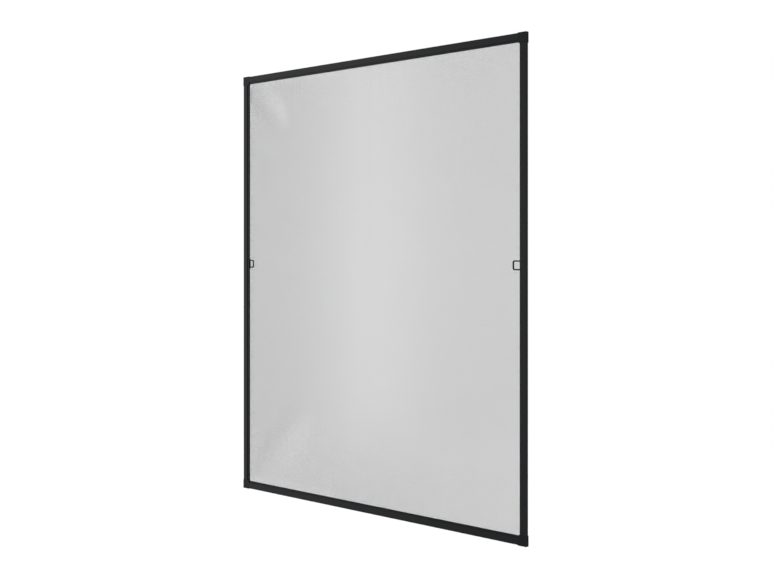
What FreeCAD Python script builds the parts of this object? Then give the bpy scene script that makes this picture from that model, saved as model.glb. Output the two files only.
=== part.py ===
"""Framed window insect screen: hollow aluminium profiles, moulded corner connectors, splined mesh and pull loops.

Millimetres. +Z is up, +X is to the right seen from the room, and -Y points to the room. The origin is the middle
of the bottom edge, halfway through the depth.
"""

import FreeCAD
import Part
import math
import os

Vector = FreeCAD.Vector

# The whole screen, over its corner connectors
WIDTH = 1300.0
HEIGHT = 1500.0

# The gap left between pieces that lie against each other in the groove
CLEARANCE = 0.05

# Lengths that differ by less than this count as equal
NEAR = 1e-6

# Aluminium profile: a closed chamber, then a flange whose groove opens to the back
PROFILE_DEPTH = 10.0
CHAMBER_WIDTH = 20.0
PROFILE_WALL = 1.0
PROFILE_EDGE_RADIUS = 0.6
CHAMBER_CORNER_RADIUS = 0.4
LIP_EDGE_RADIUS = 0.3
BARB_REACH = 0.3
BARB_RISE = 0.7
BARB_SETBACK = 0.2

# Insect mesh: a thin net whose flat strands stand for the weave, with ridges for the yarns along each strand,
# upright ones in front and level ones behind
SHEET_THICKNESS = 0.3
STRAND_WIDTH = 24.0
GAPS_ACROSS = 10
GAPS_UP = 12
RIDGES_ON_STRAND = 3
RIDGE_HEIGHT = 0.2
RIDGE_WIDTH = 1.6
RIDGE_PITCH = 8.0
MESH_SETBACK = 0.2
HEM_DEPTH = 1.1

# Spline cord, ribbed along its length, which stands a little above the groove's lip
CORD_DIAMETER = 4.0
CORD_RIBS = 6
CORD_RIB_DEPTH = 0.2
CORD_PROUD = 0.1
CORD_END_GAP = 0.6
CORD_ENDS_FROM_CORNER = 60.0

# Corner connector: a square block with two ribbed legs, which stands proud of the profiles' sides and faces
SIDE_PROUD = 1.5
FACE_PROUD = 0.5
OUTER_CORNER_RADIUS = 1.5
INNER_CORNER_RADIUS = 4.0
BLOCK_EDGE_CHAMFER = 0.4
LEG_LENGTH = 45.0
LEG_CLEARANCE = 0.15
LEG_WALL = 1.6
LEG_WEB = 1.6
LEG_RIB = 1.4
LEG_POCKETS = 4
LEG_TIP_TAPER = 1.5
CRUSH_RIB_WIDTH = 1.0
CRUSH_RIB_LENGTH = 34.0

# Pull loop: a moulded bow, tilted a few degrees out of the mesh, whose thin foot reaches over the lip into the groove
LOOP_LEVEL = 819.0
LOOP_REACH = 26.0
LOOP_HEIGHT = 29.5
LOOP_SECTION = 4.2
LOOP_INNER_RADIUS = 2.4
LOOP_EDGE_CHAMFER = 1.1
LOOP_CLEAR_OF_LIP = 0.8
LOOP_TILT = 6.0
FOOT_THICKNESS = 0.4
FOOT_HEIGHT = 34.0
FOOT_DEPTH = 2.6
FOOT_OVERLAP = 1.5

# Levels through the depth, worked out from the back
PROFILE_BACK = PROFILE_DEPTH / 2
PROFILE_FRONT = -PROFILE_DEPTH / 2
BLOCK_BACK = PROFILE_BACK + FACE_PROUD
BLOCK_FRONT = PROFILE_FRONT - FACE_PROUD
MESH_BACK = PROFILE_BACK - MESH_SETBACK
SHEET_BACK = MESH_BACK - RIDGE_HEIGHT
SHEET_FRONT = SHEET_BACK - SHEET_THICKNESS
MESH_FRONT = SHEET_FRONT - RIDGE_HEIGHT
FOOT_BACK = MESH_FRONT - CLEARANCE
FOOT_FRONT = FOOT_BACK - FOOT_THICKNESS
LIP_END = FOOT_FRONT - CLEARANCE
GROOVE_FLOOR = LIP_END + CORD_PROUD - CORD_DIAMETER - CLEARANCE
FLANGE_FRONT = GROOVE_FLOOR - PROFILE_WALL
HEM_FRONT = MESH_FRONT - HEM_DEPTH
CORD_LEVEL = GROOVE_FLOOR + CLEARANCE + CORD_DIAMETER / 2

# Places across the profile, measured inwards from the screen's edge
CHAMBER_END = SIDE_PROUD + CHAMBER_WIDTH
CORD_START = CHAMBER_END + BARB_REACH + CLEARANCE
CORD_CENTRE = CORD_START + CORD_DIAMETER / 2
HEM_START = CORD_START + CORD_DIAMETER + CLEARANCE
HEM_END = HEM_START + SHEET_THICKNESS
FOOT_START = HEM_END + CLEARANCE
FOOT_END = FOOT_START + FOOT_THICKNESS
LIP_START = FOOT_END + CLEARANCE + BARB_REACH
PROFILE_END = LIP_START + PROFILE_WALL
BLOCK_SIDE = PROFILE_END + INNER_CORNER_RADIUS

# Each side and the corner it starts from, going round: rotation about +Y in degrees, and that corner
TURNS = {
    "left": (0, Vector(-WIDTH / 2, 0, 0), HEIGHT),
    "top": (90, Vector(-WIDTH / 2, 0, HEIGHT), WIDTH),
    "right": (180, Vector(WIDTH / 2, 0, HEIGHT), HEIGHT),
    "bottom": (270, Vector(WIDTH / 2, 0, 0), WIDTH),
}


def upright(x, z):
    """A point of an outline drawn in the screen's plane."""
    return Vector(x, 0, z)


def level(x, y):
    """A point of an outline drawn across a profile that stands upright."""
    return Vector(x, y, 0)


def rounded_outline(corners, point):
    """A closed wire through corners, each (a, b, radius). point turns (a, b) into a place in space."""
    places = [point(a, b) for a, b, _ in corners]
    edges = []
    ends = []
    for i, (_, _, radius) in enumerate(corners):
        here = places[i]
        before = (places[i - 1] - here).normalize()
        after = (places[(i + 1) % len(places)] - here).normalize()
        if radius == 0:
            ends.append((here, here))
            continue
        half_turn = before.getAngle(after) / 2
        along = radius / math.tan(half_turn)
        middle_way = (before + after).normalize()
        middle = here + middle_way * (radius / math.sin(half_turn) - radius)
        start = here + before * along
        end = here + after * along
        edges.append(Part.Arc(start, middle, end).toShape())
        ends.append((start, end))
    for i in range(len(corners)):
        start = ends[i][1]
        end = ends[(i + 1) % len(corners)][0]
        if start.distanceToPoint(end) > NEAR:
            edges.append(Part.LineSegment(start, end).toShape())
    return Part.Wire(Part.__sortEdges__(edges))


def plate(wire, front, back):
    """A solid with the outline wire, drawn at depth 0, between two depths."""
    face = Part.Face(wire)
    face.translate(Vector(0, front, 0))
    return face.extrude(Vector(0, back - front, 0))


def box(x, y, z):
    """A block between pairs of places along each axis."""
    size = [high - low for low, high in (x, y, z)]
    return Part.makeBox(*size, Vector(x[0], y[0], z[0]))


def edges_at(shape, depth):
    """The edges that lie flat at one depth."""
    spans = [(edge, edge.BoundBox.YMin, edge.BoundBox.YMax) for edge in shape.Edges]
    return [edge for edge, front, back in spans if abs(front - depth) < NEAR and abs(back - depth) < NEAR]


def placed(shape, side):
    """A shape drawn at the bottom left corner, turned to where that side of the screen starts."""
    angle, corner, _ = TURNS[side]
    moved = shape.copy()
    turn = FreeCAD.Placement(corner, FreeCAD.Rotation(Vector(0, 1, 0), angle))
    moved.Placement = turn.multiply(moved.Placement)
    return moved


def frame_loop(inset):
    """A rounded rectangle that far inside the screen's edge, whose corners turn about those of the blocks."""
    radius = BLOCK_SIDE - inset
    right = WIDTH / 2 - inset
    top = HEIGHT - inset
    corners = [(-right, inset), (right, inset), (right, top), (-right, top)]
    return rounded_outline([(x, z, radius) for x, z in corners], upright)


def profile(length):
    """The extrusion for one side, drawn as the left stile with the screen's corner at the origin."""
    barb_top = LIP_END - BARB_SETBACK
    barb_tip = barb_top - BARB_RISE * 2 / 3
    barb_foot = barb_top - BARB_RISE
    outside = [
        (SIDE_PROUD, PROFILE_FRONT, PROFILE_EDGE_RADIUS),
        (CHAMBER_END, PROFILE_FRONT, PROFILE_EDGE_RADIUS),
        (CHAMBER_END, FLANGE_FRONT, 0),
        (PROFILE_END, FLANGE_FRONT, PROFILE_EDGE_RADIUS),
        (PROFILE_END, LIP_END, LIP_EDGE_RADIUS),
        (LIP_START, LIP_END, LIP_EDGE_RADIUS),
        (LIP_START, barb_top, 0),
        (LIP_START - BARB_REACH, barb_tip, 0),
        (LIP_START, barb_foot, 0),
        (LIP_START, GROOVE_FLOOR, 0),
        (CHAMBER_END, GROOVE_FLOOR, 0),
        (CHAMBER_END, barb_foot, 0),
        (CHAMBER_END + BARB_REACH, barb_tip, 0),
        (CHAMBER_END, barb_top, 0),
        (CHAMBER_END, PROFILE_BACK, LIP_EDGE_RADIUS),
        (SIDE_PROUD, PROFILE_BACK, PROFILE_EDGE_RADIUS),
    ]
    left = SIDE_PROUD + PROFILE_WALL
    right = CHAMBER_END - PROFILE_WALL
    front = PROFILE_FRONT + PROFILE_WALL
    back = PROFILE_BACK - PROFILE_WALL
    chamber = [(left, front), (right, front), (right, back), (left, back)]
    chamber = [(x, y, CHAMBER_CORNER_RADIUS) for x, y in chamber]
    section = Part.Face(rounded_outline(outside, level)).cut(Part.Face(rounded_outline(chamber, level)))
    bar = section.Faces[0].extrude(Vector(0, 0, length - 2 * BLOCK_SIDE))
    bar.translate(Vector(0, 0, BLOCK_SIDE))
    return bar


def connector_leg():
    """The leg for the chamber of the level profile: a ribbed web, with a crush rib on each side that bears on it."""
    start = BLOCK_SIDE
    end = BLOCK_SIDE + LEG_LENGTH
    low = SIDE_PROUD + PROFILE_WALL + LEG_CLEARANCE
    high = CHAMBER_END - PROFILE_WALL - LEG_CLEARANCE
    half_depth = PROFILE_DEPTH / 2 - PROFILE_WALL - LEG_CLEARANCE
    leg = box((start, end), (-half_depth, half_depth), (low, high))
    tip = [edge for edge in leg.Edges if edge.BoundBox.XMin > end - NEAR]
    leg = leg.makeChamfer(LEG_TIP_TAPER, tip)
    pocket_length = (LEG_LENGTH - LEG_TIP_TAPER - (LEG_POCKETS + 1) * LEG_RIB) / LEG_POCKETS
    pockets = []
    for i in range(LEG_POCKETS):
        pocket_start = start + LEG_RIB + i * (pocket_length + LEG_RIB)
        span = (pocket_start, pocket_start + pocket_length)
        inside = (low + LEG_WALL, high - LEG_WALL)
        pockets.append(box(span, (-half_depth, -LEG_WEB / 2), inside))
        pockets.append(box(span, (LEG_WEB / 2, half_depth), inside))
    half_rib = CRUSH_RIB_WIDTH / 2
    span = (start, start + CRUSH_RIB_LENGTH)
    sides = ((low - LEG_CLEARANCE, low), (high, high + LEG_CLEARANCE))
    crush_ribs = [box(span, (-half_rib, half_rib), side) for side in sides]
    return leg.cut(Part.makeCompound(pockets)).fuse(crush_ribs)


def corner_connector():
    """The moulded corner, drawn at the bottom left: a block, the groove that turns through it, and two legs."""
    outline = [
        (0, 0, OUTER_CORNER_RADIUS),
        (BLOCK_SIDE, 0, 0),
        (BLOCK_SIDE, PROFILE_END, 0),
        (PROFILE_END, PROFILE_END, INNER_CORNER_RADIUS),
        (PROFILE_END, BLOCK_SIDE, 0),
        (0, BLOCK_SIDE, 0),
    ]
    block = plate(rounded_outline(outline, upright), BLOCK_FRONT, BLOCK_BACK)
    block = block.makeChamfer(BLOCK_EDGE_CHAMFER, edges_at(block, BLOCK_FRONT))
    turn = Vector(BLOCK_SIDE, 0, BLOCK_SIDE)
    lip_radius = BLOCK_SIDE - LIP_START
    groove_radius = BLOCK_SIDE - CHAMBER_END
    back_way = Vector(0, 1, 0)
    groove = Part.makeCylinder(groove_radius, BLOCK_BACK - GROOVE_FLOOR, turn + back_way * GROOVE_FLOOR, back_way)
    lip = Part.makeCylinder(lip_radius, LIP_END - GROOVE_FLOOR, turn + back_way * GROOVE_FLOOR, back_way)
    block = block.cut(groove.cut(lip))
    leg = connector_leg()
    other_leg = leg.mirror(Vector(0, 0, 0), Vector(1, 0, -1))
    return block.fuse([leg, other_leg]).removeSplitter()


def net(total, edge, gap_count):
    """Along one direction, the gaps of the net as (start, end), and the centres of the ridges on its strands.

    total is the screen's size that way. The outermost strands run half under the flange.
    """
    cell = (total - 2 * PROFILE_END) / gap_count
    centres = [PROFILE_END + i * cell for i in range(gap_count + 1)]
    half = STRAND_WIDTH / 2
    spans = [(low + half, high - half) for low, high in zip(centres, centres[1:])]
    side = (RIDGES_ON_STRAND - 1) / 2
    ridges = [centre + (i - side) * RIDGE_PITCH for centre in centres for i in range(RIDGES_ON_STRAND)]
    inside = [place for place in ridges if edge + RIDGE_WIDTH < place < total - edge - RIDGE_WIDTH]
    return spans, inside


def ridged_sheet(low, high, ridges, sheet, crest, point, sweep):
    """A sheet with ridges on one face. point turns (along, depth) into a place, and sweep is the ridges' way."""
    outline = [point(high, sheet), point(low, sheet)]
    base = SHEET_FRONT + SHEET_BACK - sheet
    outline.append(point(low, base))
    for ridge in ridges:
        for along, depth in ((-1, base), (-1, crest), (1, crest), (1, base)):
            outline.append(point(ridge + along * RIDGE_WIDTH / 2, depth))
    outline.append(point(high, base))
    outline.append(outline[0])
    return Part.Face(Part.makePolygon(outline)).extrude(sweep)


def insect_mesh():
    """The cloth, flat across the frame behind the lip, with its edge turned into the groove beside the cord."""
    left = -WIDTH / 2
    low = HEM_START
    high = HEIGHT - HEM_START
    columns, upright_ridges = net(WIDTH, HEM_START, GAPS_ACROSS)
    rows, level_ridges = net(HEIGHT, HEM_START, GAPS_UP)
    warp = ridged_sheet(
        low,
        WIDTH - low,
        upright_ridges,
        SHEET_BACK,
        MESH_FRONT,
        lambda x, y: Vector(left + x, y, low),
        Vector(0, 0, high - low),
    )
    weft = ridged_sheet(
        low,
        high,
        level_ridges,
        SHEET_FRONT,
        MESH_BACK,
        lambda z, y: Vector(left + low, y, z),
        Vector(WIDTH - 2 * low, 0, 0),
    )
    gaps = [box((left + x[0], left + x[1]), (MESH_FRONT, MESH_BACK), z) for x in columns for z in rows]
    outer = frame_loop(HEM_START)
    inner = frame_loop(HEM_END)
    cloth = warp.fuse(weft).common(plate(outer, MESH_FRONT, MESH_BACK)).cut(Part.makeCompound(gaps))
    hem = plate(outer, HEM_FRONT, SHEET_BACK).cut(plate(inner, HEM_FRONT, SHEET_BACK))
    return cloth.fuse(hem).removeSplitter()


def spline_cord():
    """One length of cord that runs round the groove, with its cut ends meeting near the bottom right corner."""
    radius = BLOCK_SIDE - CORD_CENTRE
    right = WIDTH / 2 - CORD_CENTRE
    top = HEIGHT - CORD_CENTRE
    bottom = CORD_CENTRE
    ends_at = WIDTH / 2 - BLOCK_SIDE - CORD_ENDS_FROM_CORNER
    start = Vector(ends_at - CORD_END_GAP / 2, CORD_LEVEL, bottom)
    end = Vector(ends_at + CORD_END_GAP / 2, CORD_LEVEL, bottom)
    corners = [(-right, bottom, 1, 1), (-right, top, 1, -1), (right, top, -1, -1), (right, bottom, -1, 1)]
    edges = []
    last = start
    for x, z, inwards_x, inwards_z in corners:
        along_level = Vector(x + inwards_x * radius, CORD_LEVEL, z)
        along_upright = Vector(x, CORD_LEVEL, z + inwards_z * radius)
        arc_start, arc_end = along_level, along_upright
        if inwards_x * inwards_z < 0:
            arc_start, arc_end = along_upright, along_level
        centre = Vector(x + inwards_x * radius, CORD_LEVEL, z + inwards_z * radius)
        middle = centre - Vector(inwards_x, 0, inwards_z).normalize() * radius
        edges.append(Part.LineSegment(last, arc_start).toShape())
        edges.append(Part.Arc(arc_start, middle, arc_end).toShape())
        last = arc_end
    edges.append(Part.LineSegment(last, end).toShape())
    return Part.Wire(edges).makePipeShell([cord_section(start)], True, True)


def cord_section(start):
    """The cord's ribbed outline, across its first run."""
    corners = []
    for i in range(2 * CORD_RIBS):
        angle = math.pi * i / CORD_RIBS
        radius = CORD_DIAMETER / 2 - (i % 2) * CORD_RIB_DEPTH
        corners.append(start + Vector(0, radius * math.cos(angle), radius * math.sin(angle)))
    return Part.makePolygon(corners + corners[:1])


def pull_loop():
    """The left loop: a bow that leans out from the mesh, and a thin foot over the lip, clamped in the groove."""
    root = PROFILE_END + LOOP_CLEAR_OF_LIP
    tip = PROFILE_END + LOOP_REACH
    half = LOOP_HEIGHT / 2
    outer_radius = LOOP_INNER_RADIUS + LOOP_SECTION
    outline = [
        (root, -half, 0),
        (tip, -half, outer_radius),
        (tip, half, outer_radius),
        (root, half, 0),
        (root, half - LOOP_SECTION, 0),
        (tip - LOOP_SECTION, half - LOOP_SECTION, LOOP_INNER_RADIUS),
        (tip - LOOP_SECTION, LOOP_SECTION - half, LOOP_INNER_RADIUS),
        (root, LOOP_SECTION - half, 0),
    ]
    bow = plate(rounded_outline(outline, upright), FOOT_BACK - LOOP_SECTION, FOOT_BACK)
    rims = edges_at(bow, FOOT_BACK - LOOP_SECTION) + edges_at(bow, FOOT_BACK)
    bow = bow.makeChamfer(LOOP_EDGE_CHAMFER, [edge for edge in rims if edge.BoundBox.XMax > root + NEAR])
    bow.rotate(Vector(root, FOOT_BACK, 0), Vector(0, 0, 1), -LOOP_TILT)
    tall = (-FOOT_HEIGHT / 2, FOOT_HEIGHT / 2)
    over_lip = box((FOOT_START, root + FOOT_OVERLAP), (FOOT_FRONT, FOOT_BACK), tall)
    in_groove = box((FOOT_START, FOOT_END), (FOOT_BACK - FOOT_DEPTH, FOOT_BACK), tall)
    loop = bow.fuse([over_lip, in_groove]).removeSplitter()
    loop.translate(Vector(-WIDTH / 2, 0, LOOP_LEVEL))
    return loop


def pieces():
    """Every piece of the screen, by the name of its node."""
    connector = corner_connector()
    left_loop = pull_loop()
    made = {
        "insect_mesh": insect_mesh(),
        "spline_cord": spline_cord(),
        "pull_loop_left": left_loop,
        "pull_loop_right": left_loop.mirror(Vector(0, 0, 0), Vector(1, 0, 0)),
    }
    bars = {"left": "stile_left", "top": "rail_top", "right": "stile_right", "bottom": "rail_bottom"}
    corners = {"left": "bottom_left", "top": "top_left", "right": "top_right", "bottom": "bottom_right"}
    for side, (_, _, length) in TURNS.items():
        made[bars[side]] = placed(profile(length), side)
        made["corner_" + corners[side]] = placed(connector, side)
    return made


os.makedirs("parts", exist_ok=True)
for name, shape in pieces().items():
    shape.exportStep(f"parts/{name}.step")
    print(name, shape.isValid(), len(shape.Solids), round(shape.Volume / 1000, 2), "cm3")
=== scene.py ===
"""Looks of a framed window insect screen: powder coated profiles, moulded corners, woven mesh and pull loops.

Metres, in the frame of the construction model: +Z is up, +X is to the right seen from the room, and -Y points
to the room.
"""

import bpy
import bmesh
import math
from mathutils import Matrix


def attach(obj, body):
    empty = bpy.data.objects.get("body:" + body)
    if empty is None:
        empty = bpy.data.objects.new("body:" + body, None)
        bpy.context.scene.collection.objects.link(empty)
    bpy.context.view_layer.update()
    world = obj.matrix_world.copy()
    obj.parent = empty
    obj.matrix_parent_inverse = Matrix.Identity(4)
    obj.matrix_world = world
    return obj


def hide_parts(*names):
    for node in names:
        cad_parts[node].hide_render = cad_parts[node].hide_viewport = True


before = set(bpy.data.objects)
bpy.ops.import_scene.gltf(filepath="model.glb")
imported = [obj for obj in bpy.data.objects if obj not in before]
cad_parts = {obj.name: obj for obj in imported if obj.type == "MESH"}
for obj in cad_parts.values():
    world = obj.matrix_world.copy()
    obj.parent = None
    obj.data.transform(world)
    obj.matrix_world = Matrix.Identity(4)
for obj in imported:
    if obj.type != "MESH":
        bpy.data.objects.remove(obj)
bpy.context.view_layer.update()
MM = 0.001


# Side profiles. Four lengths of one hollow aluminium extrusion, sawn square and powder coated in anthracite
# before the corners are pressed into their ends. The coat is sprayed on as a fine dust and melted in an oven.
POWDER_COAT = "#303133"
POWDER_COAT_THIN = "#2a2b2d"
POWDER_PEEL = 0.8 * MM
POWDER_PEEL_DEPTH = 0.04 * MM
POWDER_CLOUD = 60 * MM
POWDER_DULLNESS = (0.46, 0.56)
POWDER_SPECULAR = 0.07


def linear(colour):
    """A hex colour in the linear values that Blender works with."""
    parts = [int(colour[i : i + 2], 16) / 255 for i in (1, 3, 5)]
    return (*(c / 12.92 if c <= 0.04045 else ((c + 0.055) / 1.055) ** 2.4 for c in parts), 1)


def add_node(tree, kind, sockets=None, **settings):
    """A node with its settings. sockets gives inputs, by name or number, a value or an output to link to."""
    made = tree.nodes.new(kind)
    for name, value in settings.items():
        setattr(made, name, value)
    for key, value in (sockets or {}).items():
        if isinstance(value, bpy.types.NodeSocket):
            tree.links.new(value, made.inputs[key])
        else:
            made.inputs[key].default_value = value
    return made


def new_finish(name):
    """An empty material, its tree, and the place of each point of the piece that wears it."""
    finish = bpy.data.materials.new(name)
    finish.use_nodes = True
    tree = finish.node_tree
    tree.nodes.clear()
    return finish, tree, add_node(tree, "ShaderNodeTexCoord").outputs["Object"]


def noise(tree, place, size, detail, distortion=0.0):
    """A soft random pattern, whose patches are about as wide as size."""
    sockets = {"Vector": place, "Scale": 1 / size, "Detail": detail, "Distortion": distortion}
    return add_node(tree, "ShaderNodeTexNoise", sockets).outputs["Fac"]


def between(tree, pattern, ends):
    """A pattern's value, brought from between 0 and 1 to between two ends."""
    sockets = {"Value": pattern, "To Min": ends[0], "To Max": ends[1]}
    return add_node(tree, "ShaderNodeMapRange", sockets).outputs["Result"]


def end_finish(tree, pattern, tones, dullness, specular, grain, depth, strength):
    """Ends a material: a surface whose tone follows a pattern between two colours, with a fine grain."""
    tone = {0: pattern, 6: linear(tones[0]), 7: linear(tones[1])}
    relief = {"Strength": strength, "Distance": depth, "Height": grain}
    surface = add_node(
        tree,
        "ShaderNodeBsdfPrincipled",
        {
            "Base Color": add_node(tree, "ShaderNodeMix", tone, data_type="RGBA").outputs[2],
            "Roughness": dullness,
            "Specular IOR Level": specular,
            "Normal": add_node(tree, "ShaderNodeBump", relief).outputs["Normal"],
        },
    )
    add_node(tree, "ShaderNodeOutputMaterial", {"Surface": surface.outputs["BSDF"]})


def wear(node_name, finish):
    """Gives a node of the construction model its finish."""
    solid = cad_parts[node_name]
    solid.data.materials.clear()
    solid.data.materials.append(finish)


# Polyester powder baked to a satin film with the finest orange peel, which scatters the room's light to a
# soft sheen and keeps no sharp reflection. The film is a little thinner in places, so its tone drifts.
powder_coat, tree, place = new_finish("anthracite_powder_coat_baked")
peel = noise(tree, place, POWDER_PEEL, 3.0)
cloud = noise(tree, place, POWDER_CLOUD, 2.0)
sheen = between(tree, cloud, POWDER_DULLNESS)
tones = (POWDER_COAT_THIN, POWDER_COAT)
end_finish(tree, cloud, tones, sheen, POWDER_SPECULAR, peel, POWDER_PEEL_DEPTH, 0.5)
for bar in ("stile_left", "rail_top", "stile_right", "rail_bottom"):
    wear(bar, powder_coat)


# Corner connectors. Each is one moulding in glass filled polyamide, dyed through: a square block that covers
# the sawn ends, with two ribbed legs pressed into the chambers. The mould is spark eroded, so it is matt.
CORNER_BLACK = "#2c2d2e"
CORNER_BLACK_STREAK = "#252627"
CORNER_DULLNESS = (0.56, 0.68)
CORNER_SPECULAR = 0.07
SPARK_GRAIN = 0.35 * MM
SPARK_GRAIN_DEPTH = 0.03 * MM
FILLER_STREAK = 9 * MM
FILLER_SWIRL = 1.5

# Polyamide with a spark eroded face: an even, fine grain that breaks up the light, and faint streaks where
# the filled melt ran. It is duller than the coat beside it, so the blocks stand out a little.
corner_plastic, tree, place = new_finish("filled_polyamide_spark_eroded")
grain = noise(tree, place, SPARK_GRAIN, 2.0)
streak = noise(tree, place, FILLER_STREAK, 4.0, FILLER_SWIRL)
dullness = between(tree, streak, CORNER_DULLNESS)
tones = (CORNER_BLACK_STREAK, CORNER_BLACK)
end_finish(tree, streak, tones, dullness, CORNER_SPECULAR, grain, SPARK_GRAIN_DEPTH, 0.6)
for corner in ("bottom_left", "top_left", "top_right", "bottom_right"):
    wear("corner_" + corner, corner_plastic)


# Insect mesh. Fibreglass yarn in a thin plastic coat, woven 16 threads to the inch each way and heated so
# that the coats melt together where threads cross. It is rolled into the groove, and creases at two corners.
SCREEN_WIDTH = 1300 * MM
SCREEN_HEIGHT = 1500 * MM
HEM_INSET = 26.05 * MM
HEM_CORNER = 5.95 * MM
HEM_END_DEPTH = 1.3 * MM
WARP_DEPTH = 4.245 * MM
WEFT_DEPTH = 4.505 * MM
YARN = 0.29 * MM
PITCH = 25.4 / 16 * MM
BEND_SHARE = 0.0024
EDGE_CLAMPED = 2 * MM
EDGE_HELD_FLAT = 16 * MM
CREASED_ACROSS = 450 * MM
CREASED_AT_BOTTOM = 450 * MM
CREASED_AT_TOP = 330 * MM
DEPTH_LEFT_OUT = 1e6
YARN_GREY = "#616364"
YARN_GREY_DARK = "#555758"
YARN_TANGLE = 3 * MM
YARN_RIB = 0.05 * MM
YARN_RIB_DEPTH = 0.002 * MM
YARN_DULLNESS = 0.28
YARN_SPECULAR = 1.0

# How many points a yarn has, straight or creased, and where its creases end, as shares of those points
STRAIGHT_POINTS = 6.0
WARP_POINTS = 30.0
WARP_CREASES_END = (0.55, 0.59)
WEFT_POINTS = 18.0
WEFT_CREASES_END = (0.92, 0.97)
ALMOST_ALL = 0.999

# Creases by the left corners: centre across and up, half length, half width, angle and height to the room
CREASES = (
    (190 * MM, 165 * MM, 235 * MM, 85 * MM, 42, 9.0 * MM),
    (300 * MM, 85 * MM, 170 * MM, 70 * MM, 30, -3.0 * MM),
    (120 * MM, 1395 * MM, 160 * MM, 70 * MM, -40, 8.0 * MM),
)


def number(tree, operation, *values, clamp=False):
    """The outcome of one sum on numbers or outputs."""
    sockets = dict(enumerate(values))
    return add_node(tree, "ShaderNodeMath", sockets, operation=operation, use_clamp=clamp).outputs[0]


def solid_from(tree_object, name, stands_for):
    """The evaluated result of a tree as a plain piece, which takes the place of a node."""
    graph = bpy.context.evaluated_depsgraph_get()
    made = bpy.data.meshes.new_from_object(tree_object.evaluated_get(graph))
    bpy.data.objects.remove(tree_object)
    piece = bpy.data.objects.new(name, made)
    bpy.context.collection.objects.link(piece)
    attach(piece, "root")
    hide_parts(stands_for)
    return piece


def run_tree(tree, start, values):
    """An object whose shape a tree makes, with a value for each of the tree's named inputs."""
    carrier = bpy.data.objects.new(tree.name, start)
    bpy.context.collection.objects.link(carrier)
    modifier = carrier.modifiers.new(tree.name, "NODES")
    modifier.node_group = tree
    for item in tree.interface.items_tree:
        if item.item_type == "SOCKET" and item.in_out == "INPUT" and item.name in values:
            modifier[item.identifier] = values[item.name]
    return carrier


def new_tree(name, inputs):
    """A geometry tree with named number inputs, and the outputs that carry them."""
    tree = bpy.data.node_groups.new(name, "GeometryNodeTree")
    tree.interface.new_socket("Geometry", in_out="INPUT", socket_type="NodeSocketGeometry")
    for label in inputs:
        tree.interface.new_socket(label, in_out="INPUT", socket_type="NodeSocketFloat")
    tree.interface.new_socket("Geometry", in_out="OUTPUT", socket_type="NodeSocketGeometry")
    return tree, add_node(tree, "NodeGroupInput").outputs


def finish_tree(tree, geometry, finish, smooth):
    """Ends a tree: its instances made real, its shading set and its material given."""
    real = add_node(tree, "GeometryNodeRealizeInstances", {"Geometry": geometry})
    shading = {"Geometry": real.outputs[0], "Shade Smooth": smooth}
    shaded = add_node(tree, "GeometryNodeSetShadeSmooth", shading)
    dressed = add_node(tree, "GeometryNodeSetMaterial", {"Geometry": shaded.outputs[0], "Material": finish})
    add_node(tree, "NodeGroupOutput", {"Geometry": dressed.outputs[0]})


# Fibreglass yarn coated in plasticised vinyl: a soft, slightly uneven grey skin. The yarn is a bundle of
# filaments, so the skin has a faint rib, five times as coarse as they are, because they are too fine to show.
mesh_yarn, tree, place = new_finish("fibreglass_yarn_vinyl_coated")
tangle = noise(tree, place, YARN_TANGLE, 3.0)
rib = noise(tree, place, YARN_RIB, 1.0)
tones = (YARN_GREY_DARK, YARN_GREY)
end_finish(tree, tangle, tones, YARN_DULLNESS, YARN_SPECULAR, rib, YARN_RIB_DEPTH, 0.4)

tree, sizes = new_tree("woven_mesh", ("Width", "Height", "Pitch", "Yarn", "Corner", "Held flat"))
half_width = number(tree, "MULTIPLY", sizes["Width"], 0.5)
half_height = number(tree, "MULTIPLY", sizes["Height"], 0.5)
spline_place = add_node(tree, "GeometryNodeSplineParameter").outputs["Index"]
spline_points = add_node(tree, "GeometryNodeSplineLength").outputs["Point Count"]


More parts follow.
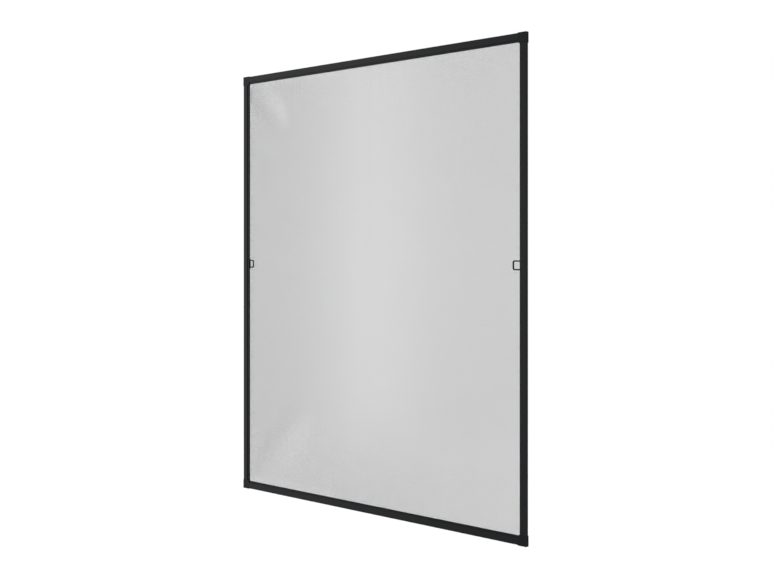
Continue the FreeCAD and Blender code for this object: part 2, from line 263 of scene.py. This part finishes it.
def yarns(across, up, depth, dense, dense_points, stops):
    """Straight yarns side by side in one direction, each with its two ends turned into the groove.

    across and up are half the cloth's size along and across the yarns, which are laid level.
    A yarn in a creased part has dense_points, spread by stops, and any other has points at its ends alone.
    """
    count = number(tree, "FLOOR", number(tree, "DIVIDE", number(tree, "MULTIPLY", up, 2.0), sizes["Pitch"]))
    half_pitch = number(tree, "MULTIPLY", sizes["Pitch"], 0.5)
    first = number(tree, "MULTIPLY", number(tree, "SUBTRACT", 1.0, count), half_pitch)
    start = add_node(tree, "ShaderNodeCombineXYZ", {"Z": first}).outputs[0]
    step = add_node(tree, "ShaderNodeCombineXYZ", {"Z": sizes["Pitch"]}).outputs[0]
    row = add_node(tree, "GeometryNodeMeshLine", {"Count": count, "Start Location": start, "Offset": step})
    strand = add_node(tree, "GeometryNodeCurvePrimitiveLine", {"Start": (-0.5, 0, 0), "End": (0.5, 0, 0)})
    laid = add_node(
        tree, "GeometryNodeInstanceOnPoints", {"Points": row.outputs[0], "Instance": strand.outputs[0]}
    )
    real = add_node(tree, "GeometryNodeRealizeInstances", {"Geometry": laid.outputs[0]})
    here = add_node(tree, "GeometryNodeInputPosition").outputs[0]
    level = add_node(tree, "ShaderNodeSeparateXYZ", {0: here}).outputs["Z"]
    in_creases = dense(level)
    points = number(tree, "MULTIPLY_ADD", in_creases, dense_points - STRAIGHT_POINTS, STRAIGHT_POINTS)
    strands = add_node(tree, "GeometryNodeResampleCurve", {"Curve": real.outputs[0], "Count": points})
    last = number(tree, "SUBTRACT", spline_points, 1.0)
    after_first = number(tree, "SUBTRACT", spline_place, 1.0)
    on_face = number(tree, "DIVIDE", after_first, number(tree, "SUBTRACT", last, 2.0), clamp=True)
    spread = add_node(tree, "ShaderNodeFloatCurve", {"Value": on_face})
    line = spread.mapping.curves[0]
    for x, y in stops:
        line.points.new(x, y)
    for point in line.points:
        point.handle_type = "VECTOR"
    spread.mapping.update()
    end = number(tree, "ROUND", on_face)
    straight = number(tree, "MULTIPLY_ADD", number(tree, "SUBTRACT", on_face, end), BEND_SHARE, end)
    share = add_node(tree, "ShaderNodeMix", {0: in_creases, 2: straight, 3: spread.outputs[0]}).outputs[0]
    to_side = number(tree, "SUBTRACT", up, number(tree, "ABSOLUTE", level))
    short = number(tree, "MAXIMUM", number(tree, "SUBTRACT", sizes["Corner"], to_side), 0.0)
    corner_squared = number(tree, "POWER", sizes["Corner"], 2.0)
    square = number(tree, "SUBTRACT", corner_squared, number(tree, "POWER", short, 2.0))
    kept = number(tree, "SQRT", number(tree, "MAXIMUM", square, 0.0))
    cut_back = number(tree, "SUBTRACT", sizes["Corner"], kept)
    reach = number(tree, "SUBTRACT", across, cut_back)
    along = number(tree, "MULTIPLY", number(tree, "MULTIPLY_ADD", share, 2.0, -1.0), reach)
    at_first = number(tree, "LESS_THAN", spline_place, 0.5)
    at_last = number(tree, "GREATER_THAN", spline_place, number(tree, "SUBTRACT", last, 0.5))
    at_end = number(tree, "ADD", at_first, at_last)
    behind = add_node(tree, "ShaderNodeMapRange", {"Value": at_end, "To Min": depth, "To Max": HEM_END_DEPTH})
    return strands.outputs[0], along, behind.outputs[0], level


def near_left_edge(level):
    """Whether a yarn, by its distance from the cloth's middle, runs through the creases at the left."""
    edge = number(tree, "SUBTRACT", CREASED_ACROSS, half_width)
    return number(tree, "LESS_THAN", level, edge)


def near_low_or_high_edge(level):
    """Whether a yarn runs through the creases at the bottom or the top."""
    low = number(tree, "SUBTRACT", CREASED_AT_BOTTOM, half_height)
    high = number(tree, "SUBTRACT", half_height, CREASED_AT_TOP)
    above = number(tree, "GREATER_THAN", level, high)
    return number(tree, "ADD", number(tree, "LESS_THAN", level, low), above)


CLOTH_WIDTH = SCREEN_WIDTH - 2 * HEM_INSET
CLOTH_HEIGHT = SCREEN_HEIGHT - 2 * HEM_INSET
low_share = CREASED_AT_BOTTOM / CLOTH_HEIGHT
high_share = 1 - CREASED_AT_TOP / CLOTH_HEIGHT
left_share = CREASED_ACROSS / CLOTH_WIDTH
middle = add_node(
    tree, "ShaderNodeCombineXYZ", {"Z": number(tree, "ADD", half_height, HEM_INSET)}
).outputs[0]

warp_stops = tuple(zip(WARP_CREASES_END, (low_share, high_share)))
curve, along, behind, level = yarns(
    half_height, half_width, WARP_DEPTH, near_left_edge, WARP_POINTS, warp_stops
)
place = add_node(tree, "ShaderNodeCombineXYZ", {"X": level, "Y": behind, "Z": along}).outputs[0]
warp = add_node(tree, "GeometryNodeSetPosition", {"Geometry": curve, "Position": place}).outputs[0]

weft_stops = tuple(zip(WEFT_CREASES_END, (left_share, ALMOST_ALL)))
curve, along, behind, level = yarns(
    half_width, half_height, WEFT_DEPTH, near_low_or_high_edge, WEFT_POINTS, weft_stops
)
place = add_node(tree, "ShaderNodeCombineXYZ", {"X": along, "Y": behind, "Z": level}).outputs[0]
weft = add_node(tree, "GeometryNodeSetPosition", {"Geometry": curve, "Position": place}).outputs[0]

both = add_node(tree, "GeometryNodeJoinGeometry")
tree.links.new(warp, both.inputs[0])
tree.links.new(weft, both.inputs[0])

here = add_node(tree, "GeometryNodeInputPosition").outputs[0]
flat = add_node(tree, "ShaderNodeSeparateXYZ", {0: here})
from_side = number(tree, "SUBTRACT", half_width, number(tree, "ABSOLUTE", flat.outputs["X"]))
from_end = number(tree, "SUBTRACT", half_height, number(tree, "ABSOLUTE", flat.outputs["Z"]))
from_edge = number(tree, "MINIMUM", from_side, from_end)
free = add_node(
    tree,
    "ShaderNodeMapRange",
    {"Value": from_edge, "From Min": EDGE_CLAMPED, "From Max": sizes["Held flat"]},
    interpolation_type="SMOOTHSTEP",
).outputs[0]
rise = 0.0
for across, up, length, width, angle, height in CREASES:
    centre = (across - SCREEN_WIDTH / 2, 0, up - SCREEN_HEIGHT / 2)
    turned = add_node(
        tree,
        "ShaderNodeVectorRotate",
        {"Vector": here, "Center": centre, "Axis": (0, 1, 0), "Angle": math.radians(angle)},
    ).outputs[0]
    away = add_node(tree, "ShaderNodeVectorMath", {0: turned, 1: centre}, operation="SUBTRACT").outputs[0]
    reach = (length, DEPTH_LEFT_OUT, width)
    scaled = add_node(tree, "ShaderNodeVectorMath", {0: away, 1: reach}, operation="DIVIDE").outputs[0]
    distance = add_node(tree, "ShaderNodeVectorMath", {0: scaled}, operation="LENGTH").outputs["Value"]
    inside = number(tree, "SUBTRACT", 1.0, number(tree, "POWER", distance, 2.0), clamp=True)
    rise = number(tree, "ADD", rise, number(tree, "MULTIPLY", number(tree, "POWER", inside, 2.0), height))
forwards = number(tree, "MULTIPLY", number(tree, "MULTIPLY", rise, free), -1.0)
offset = add_node(tree, "ShaderNodeCombineXYZ", {"Y": forwards}).outputs[0]
creased = add_node(tree, "GeometryNodeSetPosition", {"Geometry": both.outputs[0], "Offset": offset})
lifted = {"Geometry": creased.outputs[0], "Offset": middle}
raised = add_node(tree, "GeometryNodeSetPosition", lifted).outputs[0]
thick = {"Width": sizes["Yarn"], "Height": sizes["Yarn"]}
section = add_node(tree, "GeometryNodeCurvePrimitiveQuadrilateral", thick)
woven = add_node(
    tree, "GeometryNodeCurveToMesh", {"Curve": raised, "Profile Curve": section.outputs[0], "Fill Caps": True}
)
finish_tree(tree, woven.outputs[0], mesh_yarn, False)
loom = run_tree(
    tree,
    bpy.data.meshes.new("loom"),
    {
        "Width": CLOTH_WIDTH,
        "Height": CLOTH_HEIGHT,
        "Pitch": PITCH,
        "Yarn": YARN,
        "Corner": HEM_CORNER,
        "Held flat": EDGE_HELD_FLAT,
    },
)
cloth = solid_from(loom, "woven_insect_mesh", "insect_mesh")


# Spline cord. Foamed vinyl extruded with six ribs, rolled into the groove on top of the mesh all round.
# Its cut ends meet on the bottom rail near the right corner.
CORD_INSET = 23.85 * MM
CORD_DEPTH = 1.7 * MM
CORD_RADIUS = 2 * MM
CORD_RIBS = 6
CORD_RIB_DEPTH = 0.2 * MM
CORD_SIDES = 36
CORD_BEND_STEPS = 10
CORD_CORNER = 8.15 * MM
CORD_GAP = 0.6 * MM
CORD_ENDS = 92 * MM
CORD_PITS = 1.2 * MM
CORD_PIT_DEPTH = 0.1 * MM
CORD_BLACK = "#242424"
CORD_BLACK_DARK = "#191919"
CORD_DULLNESS = 0.75
CORD_SPECULAR = 0.2

# Foamed vinyl as it leaves the die: dead black and dull, with a fine pitted skin, so that it reads as rubber.
cord_plastic, tree, place = new_finish("foamed_vinyl_extruded")
pits = noise(tree, place, CORD_PITS, 4.0)
tones = (CORD_BLACK_DARK, CORD_BLACK)
end_finish(tree, pits, tones, CORD_DULLNESS, CORD_SPECULAR, pits, CORD_PIT_DEPTH, 0.5)


def route(name, points):
    """A chain of straight edges for a tree to follow."""
    made = bpy.data.meshes.new(name)
    made.from_pydata(points, [(i, i + 1) for i in range(len(points) - 1)], [])
    return made


tree, sizes = new_tree("ribbed_cord", ("Radius", "Rib depth", "Bend"))
path = add_node(tree, "GeometryNodeMeshToCurve", {"Mesh": sizes["Geometry"]})
bend = {"Curve": path.outputs[0], "Radius": sizes["Bend"], "Count": CORD_BEND_STEPS}
bent = add_node(tree, "GeometryNodeFilletCurve", bend, mode="POLY")
circle = {"Resolution": CORD_SIDES, "Radius": sizes["Radius"]}
round_section = add_node(tree, "GeometryNodeCurvePrimitiveCircle", circle)
rib_turn = 2 * math.pi * CORD_RIBS / CORD_SIDES
turn = number(tree, "MULTIPLY", add_node(tree, "GeometryNodeInputIndex").outputs[0], rib_turn)
dip = number(tree, "MULTIPLY_ADD", number(tree, "COSINE", turn), 0.5, -0.5)
dip = number(tree, "MULTIPLY", dip, sizes["Rib depth"])
shrink = number(tree, "ADD", 1.0, number(tree, "DIVIDE", dip, sizes["Radius"]))
here = add_node(tree, "GeometryNodeInputPosition").outputs[0]
ribbed = add_node(tree, "ShaderNodeVectorMath", {0: here, "Scale": shrink}, operation="SCALE").outputs[0]
die = add_node(tree, "GeometryNodeSetPosition", {"Geometry": round_section.outputs[0], "Position": ribbed})
drawn = add_node(
    tree,
    "GeometryNodeCurveToMesh",
    {"Curve": bent.outputs[0], "Profile Curve": die.outputs[0], "Fill Caps": True},
)
finish_tree(tree, drawn.outputs[0], cord_plastic, True)
right = SCREEN_WIDTH / 2 - CORD_INSET
top = SCREEN_HEIGHT - CORD_INSET
ends = SCREEN_WIDTH / 2 - CORD_ENDS
corners = [(-right, CORD_INSET), (-right, top), (right, top), (right, CORD_INSET)]
corners = [(ends - CORD_GAP / 2, CORD_INSET), *corners, (ends + CORD_GAP / 2, CORD_INSET)]
coil = run_tree(
    tree,
    route("groove_line", [(x, CORD_DEPTH, z) for x, z in corners]),
    {"Radius": CORD_RADIUS, "Rib depth": CORD_RIB_DEPTH, "Bend": CORD_CORNER},
)
solid_from(coil, "ribbed_spline_cord", "spline_cord")


# Pull loops. Soft black mouldings for a finger: a thick round-cornered bow that leans out from the mesh, on a
# thin foot that reaches over the lip into the groove, where the mesh and the cord clamp it.
LOOP_LEVEL = 819 * MM
BOW_ROOT = 28.8 * MM
BOW_TIP = 54 * MM
BOW_TILT = math.radians(6)
BOW_HEIGHT = 29.5 * MM
BOW_SECTION = 4.2 * MM
BOW_BACK = 4.05 * MM
BOW_BEND = 4.5 * MM
BOW_BEND_STEPS = 14
BOW_ROUNDING = 1.5 * MM
BOW_ROUNDING_STEPS = 5
FOOT_START = 26.25 * MM
FOOT_TAB = 30.3 * MM
FOOT_THICKNESS = 0.4 * MM
FOOT_HEIGHT = 34 * MM
FOOT_DEPTH = 2.6 * MM
FOOT_ROUNDING = 0.08 * MM
LOOP_BLACK = "#121213"
LOOP_BLACK_DARK = "#0b0b0c"
LOOP_DULLNESS = (0.32, 0.46)
LOOP_SPECULAR = 0.08
LOOP_BLOOM = 6 * MM
LOOP_GRAIN = 0.3 * MM
LOOP_GRAIN_DEPTH = 0.02 * MM

# Thermoplastic elastomer from a polished mould: black and satin, with a long soft highlight along each bow.
loop_plastic, tree, place = new_finish("soft_elastomer_moulded")
bloom = noise(tree, place, LOOP_BLOOM, 3.0)
grain = noise(tree, place, LOOP_GRAIN, 2.0)
satin = between(tree, bloom, LOOP_DULLNESS)
tones = (LOOP_BLACK_DARK, LOOP_BLACK)
end_finish(tree, bloom, tones, satin, LOOP_SPECULAR, grain, LOOP_GRAIN_DEPTH, 0.35)

tree, sizes = new_tree("moulded_bow", ("Section", "Rounding", "Bend"))
path = add_node(tree, "GeometryNodeMeshToCurve", {"Mesh": sizes["Geometry"]})
bend = {"Curve": path.outputs[0], "Radius": sizes["Bend"], "Count": BOW_BEND_STEPS}
bent = add_node(tree, "GeometryNodeFilletCurve", bend, mode="POLY")
thick = {"Width": sizes["Section"], "Height": sizes["Section"]}
square = add_node(tree, "GeometryNodeCurvePrimitiveQuadrilateral", thick)
rounding = {"Curve": square.outputs[0], "Radius": sizes["Rounding"], "Count": BOW_ROUNDING_STEPS}
rounded = add_node(tree, "GeometryNodeFilletCurve", rounding, mode="POLY")
swept = add_node(
    tree,
    "GeometryNodeCurveToMesh",
    {"Curve": bent.outputs[0], "Profile Curve": rounded.outputs[0], "Fill Caps": True},
)
finish_tree(tree, swept.outputs[0], loop_plastic, True)


def foot(side):
    """The loop's foot: an angle strip, one leg over the lip and one down in the groove."""
    back = BOW_BACK
    front = BOW_BACK - FOOT_THICKNESS
    deep = BOW_BACK - FOOT_DEPTH
    inner = FOOT_START + FOOT_THICKNESS
    outline = [(FOOT_START, deep), (inner, deep), (inner, front)]
    outline += [(FOOT_TAB, front), (FOOT_TAB, back), (FOOT_START, back)]
    strip = bmesh.new()
    rings = []
    for level in (LOOP_LEVEL - FOOT_HEIGHT / 2, LOOP_LEVEL + FOOT_HEIGHT / 2):
        ring = [strip.verts.new((side * (SCREEN_WIDTH / 2 - x), y, level)) for x, y in outline]
        rings.append(ring)
    for i in range(len(outline)):
        j = (i + 1) % len(outline)
        strip.faces.new((rings[0][i], rings[0][j], rings[1][j], rings[1][i]))
    for ring in rings:
        strip.faces.new(ring)
    rounded_off = {"offset": FOOT_ROUNDING, "segments": 2, "profile": 0.5}
    bmesh.ops.bevel(strip, geom=strip.edges[:], affect="EDGES", **rounded_off)
    bmesh.ops.recalc_face_normals(strip, faces=strip.faces[:])
    return strip


def leaned(along, forward):
    """A place on the bow, by its distance from the root and from the bow's back: the inset and the depth."""
    inset = BOW_ROOT + along * math.cos(BOW_TILT) - forward * math.sin(BOW_TILT)
    return inset, BOW_BACK - along * math.sin(BOW_TILT) - forward * math.cos(BOW_TILT)


for side, name in ((-1, "left"), (1, "right")):
    root = leaned(0, BOW_SECTION / 2)
    tip = leaned(BOW_TIP - BOW_ROOT - BOW_SECTION / 2, BOW_SECTION / 2)
    half = (BOW_HEIGHT - BOW_SECTION) / 2
    line = [(root, -half), (tip, -half), (tip, half), (root, half)]
    bow = run_tree(
        tree,
        route("bow_line", [(side * (SCREEN_WIDTH / 2 - x), y, LOOP_LEVEL + z) for (x, y), z in line]),
        {"Section": BOW_SECTION, "Rounding": BOW_ROUNDING, "Bend": BOW_BEND},
    )
    loop = solid_from(bow, "moulded_pull_loop_" + name, "pull_loop_" + name)
    strip = foot(side)
    strip.from_mesh(loop.data)
    strip.to_mesh(loop.data)
    strip.free()


# Room. A plain pale floor under the standing screen, and one tall soft light in front of it at the left. To
# the eye and to mirrors, the air is white, and the floor is nearly clear with a little grey that keeps the
# shadow. The grey fades with distance, so that no horizon shows through the mesh.
FLOOR_WHITE = "#e6e6e6"
FLOOR_REACH = 9.0
FLOOR_CLEAR = (0.96, 0.96, 0.96, 1)
FLOOR_SHADE = (0.2, 0.2, 0.2, 1)
POOL_START = 1.0
POOL_END = 2.6
WHITE = (1, 1, 1, 1)
ROOM_FILL = 0.32
LAMP_WIDTH = 0.32
LAMP_HEIGHT = 2.15
LAMP_WATTS = 14.8
LAMP_PLACE = (-1.08, -1.1, 1.09)
LAMP_TURN = -40
CAMERA_PLACE = (2.8155, -2.8019, 0.8446)
CAMERA_TURN = 44.37
CAMERA_LENS = 56.4
CAMERA_RISE = -0.0426
CAMERA_FAR = 100
UPRIGHT = math.radians(90)


def seen_white(tree):
    """Whether a ray comes from the eye, straight, mirrored or through something clear."""
    rays = add_node(tree, "ShaderNodeLightPath").outputs
    indirect = number(tree, "MAXIMUM", rays["Is Glossy Ray"], rays["Is Transmission Ray"])
    return number(tree, "MAXIMUM", rays["Is Camera Ray"], indirect)


floor_paint, tree, place = new_finish("pale_studio_floor")
paint = add_node(tree, "ShaderNodeBsdfDiffuse", {"Color": linear(FLOOR_WHITE)})
shade = add_node(tree, "ShaderNodeBsdfDiffuse", {"Color": FLOOR_SHADE})
pale = add_node(tree, "ShaderNodeBsdfTransparent", {"Color": FLOOR_CLEAR})
near = add_node(tree, "ShaderNodeAddShader", {0: shade.outputs[0], 1: pale.outputs[0]})
far = add_node(tree, "ShaderNodeVectorMath", {0: place}, operation="LENGTH").outputs["Value"]
pool = {"Value": far, "From Min": POOL_START, "From Max": POOL_END}
fade = add_node(tree, "ShaderNodeMapRange", pool, interpolation_type="SMOOTHSTEP").outputs["Result"]
clear = add_node(tree, "ShaderNodeBsdfTransparent")
bright = add_node(tree, "ShaderNodeMixShader", {0: fade, 1: near.outputs[0], 2: clear.outputs[0]})
seen = seen_white(tree)
mixed = add_node(tree, "ShaderNodeMixShader", {0: seen, 1: paint.outputs[0], 2: bright.outputs[0]})
add_node(tree, "ShaderNodeOutputMaterial", {"Surface": mixed.outputs[0]})
ground = bpy.data.meshes.new("floor")
corners = [(FLOOR_REACH * x, FLOOR_REACH * y, 0) for x, y in ((-1, -1), (1, -1), (1, 1), (-1, 1))]
ground.from_pydata(corners, [], [(0, 1, 2, 3)])
ground.materials.append(floor_paint)
floor = bpy.data.objects.new("floor", ground)
bpy.context.collection.objects.link(floor)

world = bpy.data.worlds.new("white_room")
bpy.context.scene.world = world
world.use_nodes = True
tree = world.node_tree
tree.nodes.clear()
fill = add_node(tree, "ShaderNodeBackground", {"Color": WHITE, "Strength": ROOM_FILL})
white = add_node(tree, "ShaderNodeBackground", {"Color": WHITE, "Strength": 1.0})
seen = seen_white(tree)
mixed = add_node(tree, "ShaderNodeMixShader", {0: seen, 1: fill.outputs[0], 2: white.outputs[0]})
add_node(tree, "ShaderNodeOutputWorld", {"Surface": mixed.outputs[0]})

window_light = bpy.data.lights.new("window_light", "AREA")
window_light.shape = "RECTANGLE"
window_light.size = LAMP_WIDTH
window_light.size_y = LAMP_HEIGHT
window_light.energy = LAMP_WATTS
lamp = bpy.data.objects.new("window_light", window_light)
lamp.location = LAMP_PLACE
lamp.rotation_euler = (UPRIGHT, 0, math.radians(LAMP_TURN))
lamp.visible_camera = False
bpy.context.collection.objects.link(lamp)

lens = bpy.data.cameras.new("camera")
lens.sensor_width = 36
lens.lens = CAMERA_LENS
lens.shift_y = CAMERA_RISE
lens.clip_end = CAMERA_FAR
camera = bpy.data.objects.new("camera", lens)
camera.location = CAMERA_PLACE
camera.rotation_euler = (UPRIGHT, 0, math.radians(CAMERA_TURN))
bpy.context.collection.objects.link(camera)
bpy.context.scene.camera = camera
bpy.context.scene.view_settings.view_transform = "Standard"
